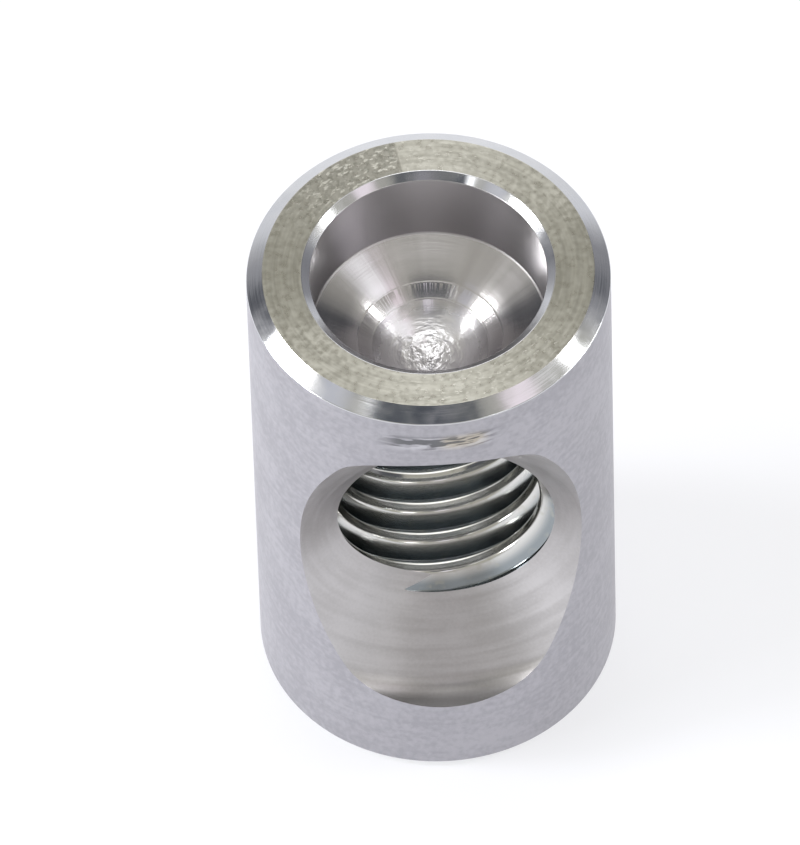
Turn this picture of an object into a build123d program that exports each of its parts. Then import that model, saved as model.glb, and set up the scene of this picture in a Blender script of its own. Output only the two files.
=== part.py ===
from build123d import *
import os
from math import radians, tan

# Cross dowel nut: one turned steel barrel with a threaded cross hole.
# Frame: Z is the barrel's axis and its lower end rests on z = 0.
# The cross hole runs along Y, and its wide mouth faces -Y.
# Lengths in millimetres, angles in degrees.

# Barrel
barrel_d = 12.0
barrel_length = 19.65
rim_bevel_width = 0.54       # bevel around the upper end, measured across the end face
rim_bevel_drop = 0.36        # the same bevel, measured down the side
foot_bevel = 0.25            # 45 degree bevel around the lower end

# Drilled recess in the upper end
recess_d = 7.8
recess_wall = 3.0            # depth of the straight wall, down to the drill point
recess_point_angle = 118.0   # full angle of the drill point
recess_bevel_width = 0.28
recess_bevel_drop = 0.2

# Threaded cross hole, an M8 thread cut into a 6.9 mm tap drill hole
tap_drill_d = 6.9
hole_below_end = 9.42        # from the upper end down to the hole's axis
thread_d = 8.0               # across the grooves' roots
thread_pitch = 1.25
thread_angle = 60.0
thread_root = 0.16           # width of the flat at a groove's root
thread_left_hand = True
thread_turns = 9             # as many as reach from the mouth to past the plain end
thread_start = 4.49          # from the barrel's axis to the outermost groove, at the bottom of the hole

# Mouth of the cross hole, cut by a flat-pointed drill wider than the barrel
mouth_d = 13.7
mouth_point_angle = 112.0
mouth_wall = 0.78            # depth of the straight wall, from the barrel's front line
mouth_corner_radius = 0.85   # between the drill point and the straight wall

# Countersink at the plain end of the cross hole
countersink_d = 9.4
countersink_angle = 90.0

# Sizes that follow from the ones above
barrel_r = barrel_d / 2
recess_r = recess_d / 2
tap_drill_r = tap_drill_d / 2
thread_r = thread_d / 2
mouth_r = mouth_d / 2
countersink_r = countersink_d / 2
recess_slope = tan(radians(recess_point_angle / 2))        # radius gained per depth
flank_slope = tan(radians(thread_angle / 2))               # half the groove's width gained per depth
mouth_slope = tan(radians(mouth_point_angle / 2))
countersink_slope = tan(radians(countersink_angle / 2))
hole_height = barrel_length - hole_below_end
recess_floor = barrel_length - recess_wall - recess_r / recess_slope
mouth_corner = barrel_r - mouth_wall                       # distance from the barrel's axis
clear = 1.0                                                # how far cutters reach past the metal
overlap = 0.1                                              # how far grooves reach into the open hole

# The barrel with its recess is half an outline, turned around Z
with BuildPart() as barrel:
    with BuildSketch(Plane.XZ):
        with BuildLine():
            Polyline(
                (0, 0),
                (barrel_r - foot_bevel, 0),
                (barrel_r, foot_bevel),
                (barrel_r, barrel_length - rim_bevel_drop),
                (barrel_r - rim_bevel_width, barrel_length),
                (recess_r + recess_bevel_width, barrel_length),
                (recess_r, barrel_length - recess_bevel_drop),
                (recess_r, barrel_length - recess_wall),
                (0, recess_floor),
                close=True,
            )
        make_face()
    revolve(axis=Axis.Z)

# The cross hole's cutters stand on Z here, with the mouth upwards, and are laid down later.
# Their sketches have the radius as x and the distance from the barrel's axis as y.
with BuildPart() as tap_drill:
    Cylinder(tap_drill_r, 2 * (barrel_r + clear))

# The groove's section is a trapezoid, carried along a helix at the thread's full radius
groove_depth = thread_r - tap_drill_r + overlap
root_half = thread_root / 2
with BuildPart() as groove:
    with BuildLine() as turns:
        Helix(thread_pitch, thread_turns * thread_pitch, thread_r, lefthand=thread_left_hand)
    with BuildSketch(Plane(origin=turns.line @ 0, x_dir=(1, 0, 0), z_dir=turns.line % 0)):
        with BuildLine():
            Polyline(
                (0, -root_half),
                (0, root_half),
                (-groove_depth, root_half + groove_depth * flank_slope),
                (-groove_depth, -root_half - groove_depth * flank_slope),
                close=True,
            )
        make_face()
    sweep(path=turns.line, is_frenet=True)

with BuildPart() as mouth:
    with BuildSketch(Plane.XZ) as mouth_outline:
        with BuildLine():
            Polyline(
                (0, mouth_corner - mouth_r / mouth_slope),
                (mouth_r, mouth_corner),
                (mouth_r, barrel_r + clear),
                (0, barrel_r + clear),
                close=True,
            )
        make_face()
        corner = mouth_outline.vertices().sort_by_distance((mouth_r, mouth_corner))[0]
        fillet(corner, radius=mouth_corner_radius)
    revolve(axis=Axis.Z)

with BuildPart() as countersink:
    with BuildSketch(Plane.XZ):
        with BuildLine():
            Polyline(
                (0, -barrel_r + countersink_r / countersink_slope),
                (countersink_r + clear * countersink_slope, -barrel_r - clear),
                (0, -barrel_r - clear),
                close=True,
            )
        make_face()
    revolve(axis=Axis.Z)

# Laid down, the cutters' Z runs out of the mouth, towards -Y, and their X points to the foot
hole = Plane(origin=(0, 0, hole_height), x_dir=(0, 0, -1), z_dir=(0, -1, 0))
innermost = thread_start - thread_turns * thread_pitch
with BuildPart() as cross_dowel_nut:
    add(barrel.part)
    add(hole * tap_drill.part, mode=Mode.SUBTRACT)
    add(hole * Pos(0, 0, innermost) * groove.part, mode=Mode.SUBTRACT)
    add(hole * mouth.part, mode=Mode.SUBTRACT)
    add(hole * countersink.part, mode=Mode.SUBTRACT)

cross_dowel_nut.part.label = "cross_dowel_nut"
os.makedirs("parts", exist_ok=True)
export_step(cross_dowel_nut.part, "parts/cross_dowel_nut.step")
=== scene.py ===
from math import cos, pi, radians, sin, tan

import bpy
import numpy as np
from mathutils import Matrix, Vector


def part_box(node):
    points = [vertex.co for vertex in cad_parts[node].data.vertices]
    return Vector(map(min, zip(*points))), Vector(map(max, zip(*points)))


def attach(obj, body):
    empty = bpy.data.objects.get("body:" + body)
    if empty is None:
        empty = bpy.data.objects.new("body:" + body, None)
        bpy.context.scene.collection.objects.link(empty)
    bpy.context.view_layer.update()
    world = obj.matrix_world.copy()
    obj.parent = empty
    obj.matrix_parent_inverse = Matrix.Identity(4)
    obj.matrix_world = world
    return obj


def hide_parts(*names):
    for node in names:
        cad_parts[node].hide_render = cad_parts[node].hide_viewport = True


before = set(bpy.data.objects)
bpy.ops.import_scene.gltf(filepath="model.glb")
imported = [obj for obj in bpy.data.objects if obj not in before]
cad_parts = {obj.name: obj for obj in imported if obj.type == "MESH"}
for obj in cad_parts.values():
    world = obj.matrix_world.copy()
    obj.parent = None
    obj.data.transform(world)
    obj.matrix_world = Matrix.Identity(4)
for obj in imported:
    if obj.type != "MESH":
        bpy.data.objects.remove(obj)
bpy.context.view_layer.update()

MM = 0.001
NODE = "cross_dowel_nut"
low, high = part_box(NODE)

# ---------------------------------------------------------------- sizes, in millimetres and degrees
# The barrel's own size comes from the frame.  The others here repeat the part's source.
barrel_r = (high.y - low.y) / 2 / MM
barrel_length = (high.z - low.z) / MM
rim_bevel_width, rim_bevel_drop = 0.54, 0.36
foot_bevel = 0.25
recess_r, recess_wall = 3.9, 3.0
recess_bevel_width, recess_bevel_drop = 0.28, 0.2
hole_below_end = 9.42
mouth_r, mouth_wall, mouth_corner_radius = 6.85, 0.78, 0.85
mouth_point_angle = 112
countersink_r, countersink_slope = 4.7, 1.0
thread_major_r = 4.0
thread_half_angle = 30
pitch = 1.25
thread_hand = -1             # the turns come nearer to the left, as seen into the mouth

hole_height = barrel_length - hole_below_end
mouth_slope = tan(radians(mouth_point_angle / 2))

# Finer than the source.  The drill point is given as (radius, fall from there inwards), where the
# source's falls 31 degrees throughout.
recess_cone = [(recess_r, 25.5), (3.2, 27.5), (2.75, 30.5), (2.42, 32.5), (1.95, 35.5)]
recess_rings = (2.42, 1.95)  # radii of two low rings on the drill point
ring_half, ring_lift = 0.04, 0.007
thread_crest_r = 3.38
thread_phase = 2.87          # where the last crest's near edge meets the bottom of the hole

# Steps round the circle
turned_steps = 360
screw_steps = 240

# Each surface of the nut, and the finish that it gets
FINISH_OF = {
    "foot": "face", "foot_bevel": "bevel", "wall": "wall", "rim_bevel": "bevel", "face": "face",
    "recess_bevel": "bevel", "recess_wall": "recess", "recess_cone": "recess",
    "countersink": "mouth", "mouth_cone": "mouth", "mouth_wall": "mouth", "thread": "thread",
}
SURFACES = list(FINISH_OF)


# ---------------------------------------------------------------- outlines
class Outline:
    """A line of straight runs and rounded corners, with the surface name and normals of each run.

    points are (across, along, name of the run that starts here); rounding gives
    (radius, steps) for a corner by its place in the list.
    """

    def __init__(self, points, rounding):
        flat = [Vector(p[:2]) for p in points]
        ways = [(b - a).normalized() for a, b in zip(flat, flat[1:])]
        self.runs = []           # (start, end, normal at start, normal at end, name)
        start = flat[0]
        for i, way in enumerate(ways):
            normal = Vector((way.y, -way.x))
            end = flat[i + 1]
            arc = []
            if i + 1 in rounding:
                radius, steps = rounding[i + 1]
                turn = way.angle_signed(ways[i + 1])
                reach = abs(radius * tan(turn / 2))
                leave = end - way * reach
                side = 1 if turn > 0 else -1
                centre = leave + normal * radius * side
                for k in range(steps + 1):
                    spin = Matrix.Rotation(-turn * k / steps, 2)
                    arc.append((centre + spin @ (leave - centre), spin @ normal))
                end = leave
            self.runs.append((start, end, normal, normal, points[i][2]))
            for (p, n), (q, m) in zip(arc, arc[1:]):
                self.runs.append((p, q, n, m, points[i + 1][2]))
            start = arc[-1][0] if arc else end

    def rows(self):
        return [self.runs[0][0]] + [run[1] for run in self.runs]

    def normals(self, places, name, period=None):
        """The outline's normals at places, taken from the runs called name."""
        best = np.full(len(places), 1e9)
        found = np.zeros((len(places), 2))
        shifts = (0,) if period is None else (-period, 0, period)
        for a, b, n, m, run_name in self.runs:
            if run_name != name:
                continue
            a, b, n, m = (np.array(v) for v in (a, b, n, m))
            way = b - a
            for shift in shifts:
                away = places - a - np.array([0, shift])
                t = np.clip(away @ way / max(way @ way, 1e-12), 0, 1)
                gap = np.linalg.norm(away - t[:, None] * way, axis=1)
                nearer = gap < best
                best[nearer] = gap[nearer]
                found[nearer] = (n + t[:, None] * (m - n))[nearer]
        return found


def cone_height(r):
    """Height of the recess's drill point at radius r."""
    height = barrel_length - recess_wall
    inner_ends = [start for start, _ in recess_cone[1:]] + [0]
    for (start, fall), end in zip(recess_cone, inner_ends):
        height -= max(start - max(end, r), 0) * tan(radians(fall))
    return height


def barrel_outline():
    """The barrel and its recess, from the middle of the foot to the drill point's tip."""
    top = barrel_length
    ring_edges = [r + step for r in recess_rings for step in (-ring_half, ring_half)]
    cone_radii = sorted([start for start, _ in recess_cone[1:]] + ring_edges, reverse=True)
    cone = [(r, cone_height(r) + (ring_lift if r in recess_rings else 0), "recess_cone")
            for r in cone_radii]
    return Outline([
        (0, 0, "foot"),
        (barrel_r - foot_bevel, 0, "foot_bevel"),
        (barrel_r, foot_bevel, "wall"),
        (barrel_r, top - rim_bevel_drop, "rim_bevel"),
        (barrel_r - rim_bevel_width, top, "face"),
        (recess_r + recess_bevel_width, top, "recess_bevel"),
        (recess_r, top - recess_bevel_drop, "recess_wall"),
        (recess_r, top - recess_wall, "recess_cone"),
        *cone,
        (0, cone_height(0), ""),
    ], {1: (0.08, 3), 2: (0.08, 3), 3: (0.06, 3), 4: (0.05, 3), 5: (0.05, 3), 6: (0.05, 3),
        7: (0.06, 2)})


def hole_outline():
    """The cross hole from its plain end to the mouth, narrower than the thread's crests."""
    corner = barrel_r - mouth_wall
    core = thread_crest_r - 0.3
    back = barrel_r - (countersink_r - core) / countersink_slope
    out = 1.0                    # how far it reaches out of the barrel
    return Outline([
        (0, -barrel_r - out, "countersink"),
        (countersink_r + out * countersink_slope, -barrel_r - out, "countersink"),
        (core, -back, "thread"),
        (core, corner - (mouth_r - core) / mouth_slope, "mouth_cone"),
        (mouth_r, corner, "mouth_wall"),
        (mouth_r, barrel_r + out, "mouth_wall"),
        (0, barrel_r + out, ""),
    ], {4: (mouth_corner_radius, 8)})


def thread_outline():
    """One turn of the thread, a pitch long: half a crest, flank, root, flank and half a crest."""
    flank = (thread_major_r - thread_crest_r) * tan(radians(thread_half_angle))
    root = pitch / 8
    crest = pitch - 2 * flank - root
    return Outline([
        (thread_crest_r, -crest / 2, "thread"),
        (thread_crest_r, 0, "thread"),
        (thread_major_r, flank, "thread"),
        (thread_major_r, flank + root, "thread"),
        (thread_crest_r, 2 * flank + root, "thread"),
        (thread_crest_r, pitch - crest / 2, ""),
    ], {1: (0.22, 5), 2: (0.08, 2), 3: (0.08, 2), 4: (0.22, 5)})


# ---------------------------------------------------------------- meshes
def around_z(r, angle, s):
    return (r * cos(angle), r * sin(angle), s)


def around_hole(r, angle, s):
    """A point at radius r round the cross hole and s along it towards -Y; angle 0 is the bottom."""
    return (r * sin(angle), -s, hole_height - r * cos(angle))


def mesh_object(verts, faces, names, name="cutter"):
    mesh = bpy.data.meshes.new(name)
    mesh.from_pydata([Vector(v) * MM for v in verts], [], faces)
    surface = mesh.attributes.new("surface", "INT", "FACE")
    surface.data.foreach_set("value", [SURFACES.index(n) for n in names])
    obj = bpy.data.objects.new(name, mesh)
    bpy.context.scene.collection.objects.link(obj)
    return obj


def turned(outline, place, name="cutter"):
    """A closed mesh turned from an outline that starts and ends on its axis."""
    steps = turned_steps
    rows = outline.rows()
    verts, faces, names = [place(0, 0, rows[0].y)], [], []
    for row in rows[1:-1]:
        verts += [place(row.x, 2 * pi * j / steps, row.y) for j in range(steps)]
    verts.append(place(0, 0, rows[-1].y))
    last = len(verts) - 1
    for i, run in enumerate(outline.runs):
        below, above = 1 + (i - 1) * steps, 1 + i * steps
        for j in range(steps):
            k = (j + 1) % steps
            if i == 0:
                faces.append((0, above + k, above + j))
            elif i == len(outline.runs) - 1:
                faces.append((below + j, below + k, last))
            else:
                faces.append((below + j, below + k, above + k, above + j))
            names.append(run[4])
    return mesh_object(verts, faces, names, name)


def thread_screw(outline, turns_in=8, turns_out=3, cap=0.3):
    """A closed screw that cuts the thread, as rows of points that climb one pitch each turn.

    cap is how far the points that close its two ends stand off the last turns.
    """
    steps = screw_steps
    one_turn = outline.rows()[:-1]
    k = len(one_turn)
    rows = [(row.x, row.y + n * pitch) for n in range(-turns_in, turns_out) for row in one_turn]
    m = len(rows)
    verts, faces = [], []
    for r, along in rows:
        for j in range(steps):
            climbed = thread_phase + along + pitch * j / steps
            verts.append(around_hole(r, thread_hand * 2 * pi * j / steps, climbed))
    inner, outer = len(verts), len(verts) + 1
    verts.append(around_hole(0, 0, thread_phase + rows[0][1] - cap))
    verts.append(around_hole(0, 0, thread_phase + rows[-1][1] + pitch + cap))

    def at(i, j):
        return (i + k) * steps if j == steps else i * steps + j

    for j in range(steps):
        for i in range(m - 1 - (k if j == steps - 1 else 0)):
            faces.append((at(i, j), at(i, j + 1), at(i + 1, j + 1), at(i + 1, j)))
    for j in range(steps - 1):
        faces.append((inner, at(0, j + 1), at(0, j)))
        faces.append((outer, at(m - 1, j), at(m - 1, j + 1)))
    faces.append((inner, at(k, 0), at(0, steps - 1)))
    faces.append((outer, at(m - 1 - k, steps - 1), at(m - 1, 0)))
    for i in range(k):
        faces.append((inner, at(i, 0), at(i + 1, 0)))
        faces.append((outer, at(m - 1 - i, steps - 1), at(m - 2 - i, steps - 1)))
    if thread_hand < 0:
        faces = [face[::-1] for face in faces]
    return mesh_object(verts, faces, ["thread"] * len(faces))


def cut(obj, cutter):
    """Cuts the cutter out of obj for good, and removes the cutter."""
    modifier = obj.modifiers.new("cut", "BOOLEAN")
    modifier.operation, modifier.solver, modifier.object = "DIFFERENCE", "MANIFOLD", cutter
    bpy.context.view_layer.update()
    cut_obj = obj.evaluated_get(bpy.context.evaluated_depsgraph_get())
    done = bpy.data.meshes.new_from_object(cut_obj)
    obj.modifiers.clear()
    obj.data = done
    bpy.data.objects.remove(cutter)


def read(items, key, width=1):
    """The values that a mesh keeps under key, as an array."""
    values = np.empty(len(items) * width, float if width > 1 else int)
    items.foreach_get(key, values)
    return values.reshape(-1, width) if width > 1 else values


def surface_numbers(mesh):
    """For each face, the place of its surface in SURFACES."""
    return read(mesh.attributes["surface"].data, "value")


def unit(v):
    return v / np.maximum(np.linalg.norm(v, axis=1, keepdims=True), 1e-9)


def set_normals(mesh, barrel, hole, thread):
    """Gives every face corner the true surface's normal, so that cuts leave no shading marks."""
    p = read(mesh.vertices, "co", 3)[read(mesh.loops, "vertex_index")] / MM
    surface = np.repeat(surface_numbers(mesh), read(mesh.polygons, "loop_total"))
    count = len(p)
    normals = np.zeros((count, 3))

    # places round the barrel's axis, and round the cross hole's
    rho = np.hypot(p[:, 0], p[:, 1])
    out_z = unit(p * (1, 1, 0))
    across = p - (0, 0, hole_height)
    r = np.hypot(across[:, 0], across[:, 2])
    out_hole = unit(across * (1, 0, 1))
    s = -p[:, 1]

    # places along the thread's outline, once its climb is taken off
    angle = np.arctan2(across[:, 0], -across[:, 2])
    along = s - thread_phase - thread_hand * pitch * angle / (2 * pi)
    begin = thread.runs[0][0].y
    along = (along - begin) % pitch + begin
    sideways = np.stack([np.cos(angle), np.zeros(count), np.sin(angle)], axis=1)

    for i, name in enumerate(SURFACES):
        here = surface == i
        if not here.any():
            continue
        if name == "thread":
            n = -thread.normals(np.stack([r[here], along[here]], axis=1), name, pitch)
            climb = thread_hand * pitch / (2 * pi * r[here])
            forward = (0, -1, 0) - climb[:, None] * sideways[here]
            normals[here] = n[:, :1] * out_hole[here] + n[:, 1:] * forward
        elif any(run[4] == name for run in barrel.runs):
            n = barrel.normals(np.stack([rho[here], p[here, 2]], axis=1), name)
            normals[here] = n[:, :1] * out_z[here] + n[:, 1:] * (0, 0, 1)
        else:
            n = -hole.normals(np.stack([r[here], s[here]], axis=1), name)
            normals[here] = n[:, :1] * out_hole[here] + n[:, 1:] * (0, -1, 0)
    mesh.polygons.foreach_set("use_smooth", [True] * len(mesh.polygons))
    mesh.normals_split_custom_set(unit(normals).tolist())


# ---------------------------------------------------------------- the nut
def build_nut():
    barrel, hole, thread = barrel_outline(), hole_outline(), thread_outline()
    nut = turned(barrel, around_z, "nut")
    cut(nut, turned(hole, around_hole))
    cut(nut, thread_screw(thread))
    set_normals(nut.data, barrel, hole, thread)
    return nut


# ---------------------------------------------------------------- materials
class Nodes:
    """Short calls that add nodes to one node tree and give back the output socket."""

    def __init__(self, tree):
        self.tree = tree

    def add(self, kind, inputs, output=0, **settings):
        node = self.tree.nodes.new(kind)
        for key, value in settings.items():
            setattr(node, key, value)
        for key, value in inputs.items():
            if isinstance(value, bpy.types.NodeSocket):
                self.tree.links.new(value, node.inputs[key])
            else:
                node.inputs[key].default_value = value
        return node.outputs[output]

    def math(self, operation, a, b=0.0):
        return self.add("ShaderNodeMath", {0: a, 1: b}, operation=operation)

    def times(self, a, b):
        return self.math("MULTIPLY", a, b)

    def minus(self, a, b):
        return self.math("SUBTRACT", a, b)

    def vector(self, operation, a, b=(0, 0, 0), output=0):
        return self.add("ShaderNodeVectorMath", {0: a, 1: b}, output, operation=operation)

    def scaled(self, vector, factor):
        return self.add("ShaderNodeVectorMath", {0: vector, "Scale": factor}, operation="SCALE")

    def combine(self, x, y, z):
        return self.add("ShaderNodeCombineXYZ", {0: x, 1: y, 2: z})

    def split(self, vector):
        node = self.tree.nodes.new("ShaderNodeSeparateXYZ")
        self.tree.links.new(vector, node.inputs[0])
        return node.outputs

    def noise(self, vector, detail):
        return self.add("ShaderNodeTexNoise",
                        {"Vector": vector, "Scale": 1.0, "Detail": detail, "Roughness": 0.5})

    def ramp(self, value, start, end, low=0.0, high=1.0):
        return self.add("ShaderNodeMapRange", {0: value, 1: start, 2: end, 3: low, 4: high},
                        interpolation_type="SMOOTHSTEP")

    def mix(self, factor, a, b):
        return self.add("ShaderNodeMix", {0: factor, 6: a, 7: b}, 2, data_type="RGBA")


class Steel(Nodes):
    """A steel surface, turned around Z or around the cross hole, with places in millimetres."""

    def __init__(self, name, around):
        self.material = bpy.data.materials.new(name)
        self.material.use_nodes = True
        super().__init__(self.material.node_tree)
        self.shader = self.tree.nodes["Principled BSDF"]
        self.around = around
        self.place = self.scaled(self.add("ShaderNodeTexCoord", {}, "Object"), 1 / MM)
        x, y, z = self.split(self.place)
        if around == "hole":
            z_from_axis = self.minus(z, hole_height)
            self.along = self.times(y, -1.0)
            self.radial = self.combine(x, 0.0, z_from_axis)
        else:
            self.along = z
            self.radial = self.combine(x, y, 0.0)
        self.radius = self.vector("LENGTH", self.radial, output="Value")
        self.radial = self.vector("NORMALIZE", self.radial)
        # out from the axis and along it: straight across the tool marks on any turned surface
        axis = (0, -1, 0) if around == "hole" else (0, 0, 1)
        self.across_marks = self.vector("ADD", self.radial, axis)

    def rings(self, across, density, wander, detail=2.0):
        """Noise drawn out along the turning marks: density per mm across them, wander round."""
        a, b, c = self.split(self.radial)
        side = c if self.around == "hole" else b
        spread = self.combine(self.times(across, density), self.times(a, wander),
                              self.times(side, wander))
        return self.noise(spread, detail)

    def grain(self, density, detail=2.0):
        return self.noise(self.scaled(self.place, density), detail)

    def near(self, centre, reach):
        """1 near a place, and 0 farther than reach away from it."""
        away = self.vector("DISTANCE", self.place, centre, output="Value")
        return self.ramp(away, reach / 2, reach, 1.0, 0.0)

    def sector(self, rise, fall):
        """1 between two angles round Z; it comes in over rise and goes over fall, in degrees."""
        x, y, _ = self.split(self.radial)
        turn = self.math("ARCTAN2", y, x)
        return self.times(self.ramp(turn, radians(rise[0]), radians(rise[1])),
                          self.ramp(turn, radians(fall[0]), radians(fall[1]), 1.0, 0.0))

    def sum(self, *terms):
        """Adds up (socket, factor) pairs."""
        total = self.times(*terms[0])
        for socket, factor in terms[1:]:
            total = self.math("ADD", total, self.times(socket, factor))
        return total

    def finish(self, colour, roughness, height, anisotropy=0.0, tangent=None, metallic=1.0):
        """height is in mm; anisotropy stretches reflections along the tangent."""
        links, inputs = self.tree.links, self.shader.inputs
        inputs["Metallic"].default_value = metallic
        links.new(colour, inputs["Base Color"])
        links.new(roughness, inputs["Roughness"])
        bump = self.add("ShaderNodeBump", {"Strength": 1.0, "Distance": MM, "Height": height})
        links.new(bump, inputs["Normal"])
        if anisotropy:
            inputs["Anisotropic"].default_value = anisotropy
            links.new(tangent, inputs["Tangent"])
        return self.material


def grey(r, g, b):
    return (r, g, b, 1.0)


# The scuff above the mouth: its middle, sideways as a share of the radius, its height and its stain
scuff_middle, scuff_height = -0.01, 18.25
scuff_stain = (0.75, -6.0, scuff_height)


def wall_steel():
    """The barrel's side: satin, with a pebbled grain, soft patches, and a scuff above the mouth."""
    s = Steel("wall", "z")
    grain, fine, patches = s.grain(4.5, 3.0), s.grain(20.0, 1.0), s.grain(0.5, 3.0)
    marks = s.rings(s.along, 5.0, 0.8)
    tone = s.sum((grain, 0.45), (patches, 0.35), (marks, 0.2))
    colour = s.mix(s.ramp(tone, 0.38, 0.62), grey(0.385, 0.378, 0.41), grey(0.465, 0.457, 0.49))

    # the scuff: short strokes round the barrel, dark with a few bright lips and a yellow stain
    sideways = s.split(s.radial)[0]
    strokes = s.rings(s.minus(s.along, s.times(sideways, 0.4)), 6.0, 6.5, 1.5)
    off_middle = s.math("ABSOLUTE", s.minus(sideways, scuff_middle))
    off_level = s.math("ABSOLUTE", s.minus(s.along, scuff_height))
    front = s.ramp(s.times(s.split(s.place)[1], -1.0), 0.0, 1.0)
    in_width = s.ramp(off_middle, 0.20, 0.36, 1.0, 0.0)
    in_height = s.ramp(off_level, 0.15, 0.48, 1.0, 0.0)
    where = s.times(s.times(in_width, in_height), front)
    dark = s.times(where, s.ramp(strokes, 0.46, 0.53))
    bright = s.times(where, s.ramp(strokes, 0.44, 0.36))
    stain = s.times(s.near(scuff_stain, 1.0), where)
    colour = s.mix(s.times(stain, 0.6), colour, grey(0.56, 0.49, 0.36))
    colour = s.mix(s.times(dark, 0.85), colour, grey(0.13, 0.135, 0.14))
    colour = s.mix(s.times(bright, 0.5), colour, grey(0.72, 0.72, 0.75))

    roughness = s.ramp(s.sum((patches, 0.5), (fine, 0.5)), 0.3, 0.7, 0.42, 0.52)
    height = s.sum((grain, 0.0025), (fine, 0.0006), (marks, 0.001), (dark, -0.02))
    return s.finish(colour, roughness, height, 0.2, s.combine(0.0, 0.0, 1.0), metallic=0.88)


def face_steel():
    """The top: faced in rings, dull and yellowish, torn at the back left, with painted glints."""
    s = Steel("face", "z")
    rings, broad = s.rings(s.radius, 8.0, 2.2, 1.0), s.rings(s.radius, 2.6, 1.2)
    grain, specks = s.grain(5.0, 1.5), s.rings(s.radius, 9.0, 18.0, 1.0)
    torn, plain = s.sector((97.5, 99), (120, 170)), s.sector((-35, -15), (45, 70))
    front, back = s.sector((-130, -85), (-45, -20)), s.sector((45, 70), (96.5, 97.5))
    tone = s.sum((broad, 0.3), (grain, 0.25), (rings, 0.45))
    colour = s.mix(s.ramp(tone, 0.36, 0.64), grey(0.43, 0.42, 0.375), grey(0.57, 0.56, 0.505))
    colour = s.mix(s.times(torn, 0.85), colour, grey(0.33, 0.32, 0.285))
    # painted glints: small raised flecks lightened at the front, the back and in the torn patch
    painted_glint_sectors = s.math("MAXIMUM", s.times(front, 0.8), s.times(back, 0.6))
    painted_glint_flecks = s.times(s.ramp(specks, 0.56, 0.66), s.math("MAXIMUM", torn, painted_glint_sectors))
    colour = s.mix(painted_glint_flecks, colour, grey(0.59, 0.58, 0.53))
    pits = s.times(s.ramp(s.grain(7.0), 0.50, 0.40), torn)
    colour = s.mix(s.times(pits, 0.55), colour, grey(0.24, 0.24, 0.21))
    roughness = s.ramp(grain, 0.3, 0.7, 0.27, 0.38)
    rings = s.times(rings, s.minus(1.0, s.times(plain, 0.6)))
    height = s.sum((rings, 0.007), (broad, 0.004), (grain, 0.0006),
                   (s.times(torn, s.grain(5.0, 3.0)), 0.025), (painted_glint_flecks, 0.004))
    return s.finish(colour, roughness, height, 0.7, s.across_marks)


def bevel_steel():
    """The bevels: bright, with a few ring marks from the tool."""
    s = Steel("bevel", "z")
    rings = s.rings(s.minus(s.radius, s.along), 9.0, 2.0)
    patches = s.grain(1.2)
    colour = s.mix(patches, grey(0.60, 0.615, 0.64), grey(0.70, 0.70, 0.715))
    roughness = s.ramp(patches, 0.3, 0.7, 0.11, 0.20)
    return s.finish(colour, roughness, s.sum((rings, 0.0022), (patches, 0.004)), 0.3, s.radial)


def recess_steel():
    """Drilled recess: lines round wall and cone, painted shade at the sides, a torn tip painted
    bright.
    """
    s = Steel("recess", "z")
    across = s.sum((s.radius, 0.7), (s.along, 0.7))
    rings, fine = s.rings(across, 6.0, 1.5, 3.0), s.rings(across, 22.0, 4.0)
    spokes = s.rings(s.times(across, 0.05), 1.0, 7.0, 3.0)
    point, wall, outer = (s.ramp(s.radius, *ends) for ends in ((2.3, 1.2), (3.8, 3.88), (2.4, 3.0)))
    # painted shade: the wall and the cone's outer part darken towards the left and right sides
    sides = s.times(s.ramp(s.math("ABSOLUTE", s.split(s.radial)[0]), 0.55, 0.92), outer)
    torn = s.times(s.minus(s.rings(s.radius, 3.6, 1.2, 3.0), 0.5), s.ramp(s.radius, 1.9, 0.9))
    lumps = s.times(s.minus(s.grain(4.0, 3.0), 0.5), s.ramp(s.radius, 1.4, 0.5))
    colour = s.mix(spokes, grey(0.53, 0.515, 0.525), grey(0.66, 0.645, 0.655))
    # painted highlight: the colour lightens towards the torn tip, which is also made rougher
    colour = s.mix(point, colour, grey(0.86, 0.85, 0.875))
    colour = s.mix(wall, colour, grey(0.55, 0.535, 0.545))
    # painted shade at the left and right sides
    colour = s.mix(s.times(sides, 0.5), colour, grey(0.19, 0.185, 0.195))
    roughness = s.sum((point, 0.12), (outer, 0.01), (wall, 0.16), (spokes, 0.08), (rings, 0.06))
    roughness = s.math("ADD", roughness, 0.13)
    height = s.sum((rings, 0.0022), (fine, 0.0008), (spokes, 0.007), (torn, 0.10), (lumps, 0.055))
    return s.finish(colour, roughness, height, 0.4, s.across_marks)


def mouth_steel():
    """The mouth's cone: warm grey, with the cutter's marks running round the hole."""
    s = Steel("mouth", "hole")
    across = s.sum((s.radius, 0.8), (s.along, 0.5))
    rings, fine = s.rings(across, 4.5, 1.1, 4.0), s.rings(across, 18.0, 2.5)
    patches, grain = s.grain(0.6), s.grain(10.0)
    tone = s.sum((rings, 0.45), (patches, 0.35), (grain, 0.2))
    colour = s.mix(s.ramp(tone, 0.36, 0.64), grey(0.465, 0.45, 0.45), grey(0.55, 0.535, 0.54))
    roughness = s.ramp(rings, 0.3, 0.7, 0.34, 0.42)
    height = s.sum((rings, 0.0024), (fine, 0.0010), (grain, 0.0006))
    return s.finish(colour, roughness, height, 0.5, s.across_marks)


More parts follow.
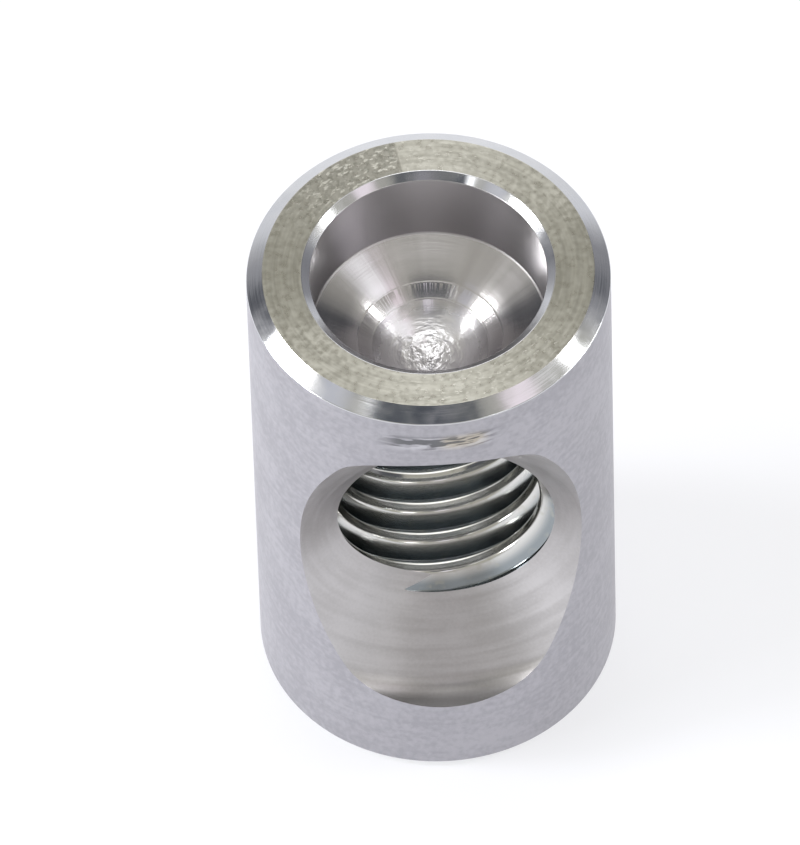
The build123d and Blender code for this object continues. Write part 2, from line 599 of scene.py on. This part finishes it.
def thread_steel():
    """The thread: painted shade, from light crests to blue-green flanks deep in the grooves."""
    s = Steel("thread", "hole")
    painted_groove_shade = s.ramp(s.radius, 3.42, 3.85)
    marks, grain = s.rings(s.along, 6.0, 0.7), s.grain(3.0)
    # painted shade: the colour darkens from the light crests into the grooves, where shade falls
    colour = s.mix(painted_groove_shade, grey(0.70, 0.695, 0.67), grey(0.30, 0.33, 0.345))
    colour = s.mix(s.ramp(grain, 0.55, 0.75, 0.0, 0.4), colour, grey(0.50, 0.49, 0.42))
    roughness = s.ramp(marks, 0.3, 0.7, 0.10, 0.18)
    return s.finish(colour, roughness, s.sum((marks, 0.0003), (grain, 0.0004)))


FINISHES = {"wall": wall_steel(), "face": face_steel(), "bevel": bevel_steel(),
            "recess": recess_steel(), "mouth": mouth_steel(), "thread": thread_steel()}


def dress(obj):
    """Gives every face the finish of its surface."""
    obj.data.materials.clear()
    for material in FINISHES.values():
        obj.data.materials.append(material)
    slots = [list(FINISHES).index(FINISH_OF[name]) for name in SURFACES]
    obj.data.polygons.foreach_set("material_index", [slots[i] for i in surface_numbers(obj.data)])


nut = build_nut()
dress(nut)
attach(nut, "root")
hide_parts(NODE)

# ---------------------------------------------------------------- floor
scene = bpy.context.scene
scene.view_settings.view_transform = "Standard"

floor_half = 2.0
floor_glow = 0.62            # share of plain white in what the camera or a reflection sees of it


def add_floor():
    mesh = bpy.data.meshes.new("floor")
    h = floor_half
    mesh.from_pydata([(-h, -h, 0), (h, -h, 0), (h, h, 0), (-h, h, 0)], [], [(0, 1, 2, 3)])
    floor = bpy.data.objects.new("floor", mesh)
    scene.collection.objects.link(floor)
    material = bpy.data.materials.new("floor_white")
    material.use_nodes = True
    n = Nodes(material.node_tree)
    shader = n.tree.nodes["Principled BSDF"]
    shader.inputs["Base Color"].default_value = (0.86, 0.875, 0.95, 1)
    shader.inputs["Roughness"].default_value = 0.9
    shader.inputs["Specular IOR Level"].default_value = 0.1
    rays = n.tree.nodes.new("ShaderNodeLightPath").outputs
    bounced = n.math("MAXIMUM", rays["Is Glossy Ray"], rays["Is Transmission Ray"])
    seen = n.math("MAXIMUM", rays["Is Camera Ray"], bounced)
    glow = n.add("ShaderNodeEmission", {"Color": (1, 1, 1, 1), "Strength": 1.0})
    both = n.add("ShaderNodeMixShader",
                 {0: n.times(seen, floor_glow), 1: shader.outputs[0], 2: glow})
    n.tree.links.new(both, n.tree.nodes["Material Output"].inputs["Surface"])
    floor.data.materials.append(material)


add_floor()

# ---------------------------------------------------------------- light
# The room as the polished steel sees it: a ceiling over a pale horizon, and soft patches laid over
# them in turn.  Each patch is (towards, full within degrees, gone beyond degrees, colour).
CEILING = (0.50, 0.49, 0.44)
HORIZON = (0.88, 0.89, 0.93)
horizon_up_to, ceiling_from = 0.08, 0.35      # the upward part of the direction
PATCHES = [
    ((0, 0.13, 0.99), 8, 18, (2.9, 2.9, 2.9)),          # a light straight above
    ((0, 0.94, 0.34), 12, 30, (1.7, 1.7, 1.7)),         # the backdrop
    ((0.80, 0.50, 0.33), 10, 28, (0.32, 0.32, 0.34)),   # the sides at the back, darker higher up
    ((-0.80, 0.50, 0.33), 10, 28, (0.40, 0.40, 0.42)),
    ((0.66, 0.53, 0.54), 10, 16, (0.10, 0.105, 0.12)),
    ((-0.66, 0.53, 0.54), 10, 16, (0.10, 0.105, 0.12)),
    ((0, -0.97, 0.25), 12, 30, (0.54, 0.52, 0.51)),     # the room in front, paler low down
    ((0, -1, -0.02), 5, 8, (0.80, 0.80, 0.82)),
    ((0.26, -0.97, -0.04), 5, 8, (0.75, 0.75, 0.78)),
    ((0.47, -0.72, 0.51), 5, 8, (3, 3, 3)),             # a small window at the front right
    ((-0.32, -0.45, 0.83), 5, 9, (0.10, 0.11, 0.13)),   # dark shapes over the front
    ((-0.16, -0.49, 0.86), 5, 9, (0.10, 0.11, 0.13)),
    ((0, -0.50, 0.866), 6, 9, (0.07, 0.08, 0.10)),
    ((0.17, -0.49, 0.86), 5, 9, (0.09, 0.10, 0.12)),
    ((0, -0.69, 0.72), 5, 8, (1.25, 1.2, 1.3)),         # a pale panel under them
    ((0.515, -0.33, 0.79), 4, 9, (1.25, 1.12, 1.18)),   # a pinkish panel, and more of it above
    ((0.46, -0.20, 0.865), 2, 8, (1.15, 1.05, 1.10)),
    ((0.57, -0.08, 0.82), 4, 10, (1.7, 1.7, 1.75)),     # a white one beside it
    ((-0.44, -0.43, 0.79), 1.5, 3.5, (2.5, 2.5, 2.5)),  # a small lamp
    ((-0.61, -0.24, 0.755), 5, 9, (0.70, 0.71, 0.77)),  # a grey panel at the left
]
WHITE, COOL = (1, 1, 1), (0.97, 0.98, 1)
# Soft boxes: towards, the long side's direction, distance and sides in m, watts, colour
LAMPS = {
    "left_box": ((-0.80, 0.07, 0.59), (0.145, -0.45, 0.21), 0.30, (0.092, 0.045), 0.38, WHITE),
    "right_box": ((0.785, 0.0, 0.62), (0.07, 0.22, -0.10), 0.30, (0.028, 0.060), 0.06, WHITE),
    "low_left": ((-0.94, -0.15, 0.28), (0.15, -1, 0), 0.35, (0.20, 0.07), 0.92, COOL),
    "low_right": ((0.95, -0.05, 0.30), (0.05, 1, 0), 0.35, (0.20, 0.07), 0.36, COOL),
}


def add_world():
    world = bpy.data.worlds.new("studio")
    scene.world = world
    world.use_nodes = True
    n = Nodes(world.node_tree)
    way = n.vector("NORMALIZE", n.add("ShaderNodeTexCoord", {}, "Generated"))
    rise = n.ramp(n.split(way)[2], horizon_up_to, ceiling_from)
    colour = n.mix(rise, (*HORIZON, 1), (*CEILING, 1))
    for towards, inner, outer, patch in PATCHES:
        facing = n.vector("DOT_PRODUCT", way, tuple(Vector(towards).normalized()), output="Value")
        share = n.ramp(facing, cos(radians(outer)), cos(radians(inner)))
        colour = n.mix(share, colour, (*patch, 1))
    n.tree.links.new(colour, n.tree.nodes["Background"].inputs["Color"])


def add_lamp(name, towards, long_side, distance, sides, watts, colour):
    """A soft box that faces the middle of the nut's top."""
    lamp = bpy.data.lights.new(name, "AREA")
    lamp.shape, lamp.size, lamp.size_y = "RECTANGLE", *sides
    lamp.energy, lamp.color = watts, colour
    obj = bpy.data.objects.new(name, lamp)
    scene.collection.objects.link(obj)
    z = Vector(towards).normalized()
    y = z.cross(Vector(long_side)).normalized()
    turned_lamp = Matrix((y.cross(z), y, z)).transposed()
    aim = Vector((0, 0, barrel_length * MM))
    obj.matrix_world = Matrix.Translation(aim + z * distance) @ turned_lamp.to_4x4()


add_world()
for lamp_name, settings in LAMPS.items():
    add_lamp(lamp_name, *settings)

# ---------------------------------------------------------------- camera
# It looks down on the nut from a long way off, turned a little to the mouth's left.
view_turn, view_height, view_roll = radians(-2.5), radians(53.63), radians(1.78)
view_distance = 562.2 * MM
sensor_width = 36
lens_per_sensor = 19.974
aim_drop = 9.75              # from the top down to the height that it is aimed at
aim_offset = Vector((-1.108, 0.823, 0)) * MM  # sideways and up, as it sees them


def add_camera():
    data = bpy.data.cameras.new("camera")
    data.sensor_width = sensor_width
    data.lens = lens_per_sensor * sensor_width
    data.clip_start, data.clip_end = 0.01, 10
    obj = bpy.data.objects.new("camera", data)
    scene.collection.objects.link(obj)
    away = Vector((sin(view_turn) * cos(view_height), -cos(view_turn) * cos(view_height),
                   sin(view_height)))
    upright = away.to_track_quat("Z", "Y").to_matrix()
    turned_camera = upright @ Matrix.Rotation(-view_roll, 3, "Z")
    aim = Vector((0, 0, (barrel_length - aim_drop) * MM)) + turned_camera @ aim_offset
    obj.matrix_world = Matrix.Translation(aim + away * view_distance) @ turned_camera.to_4x4()
    scene.camera = obj


add_camera()
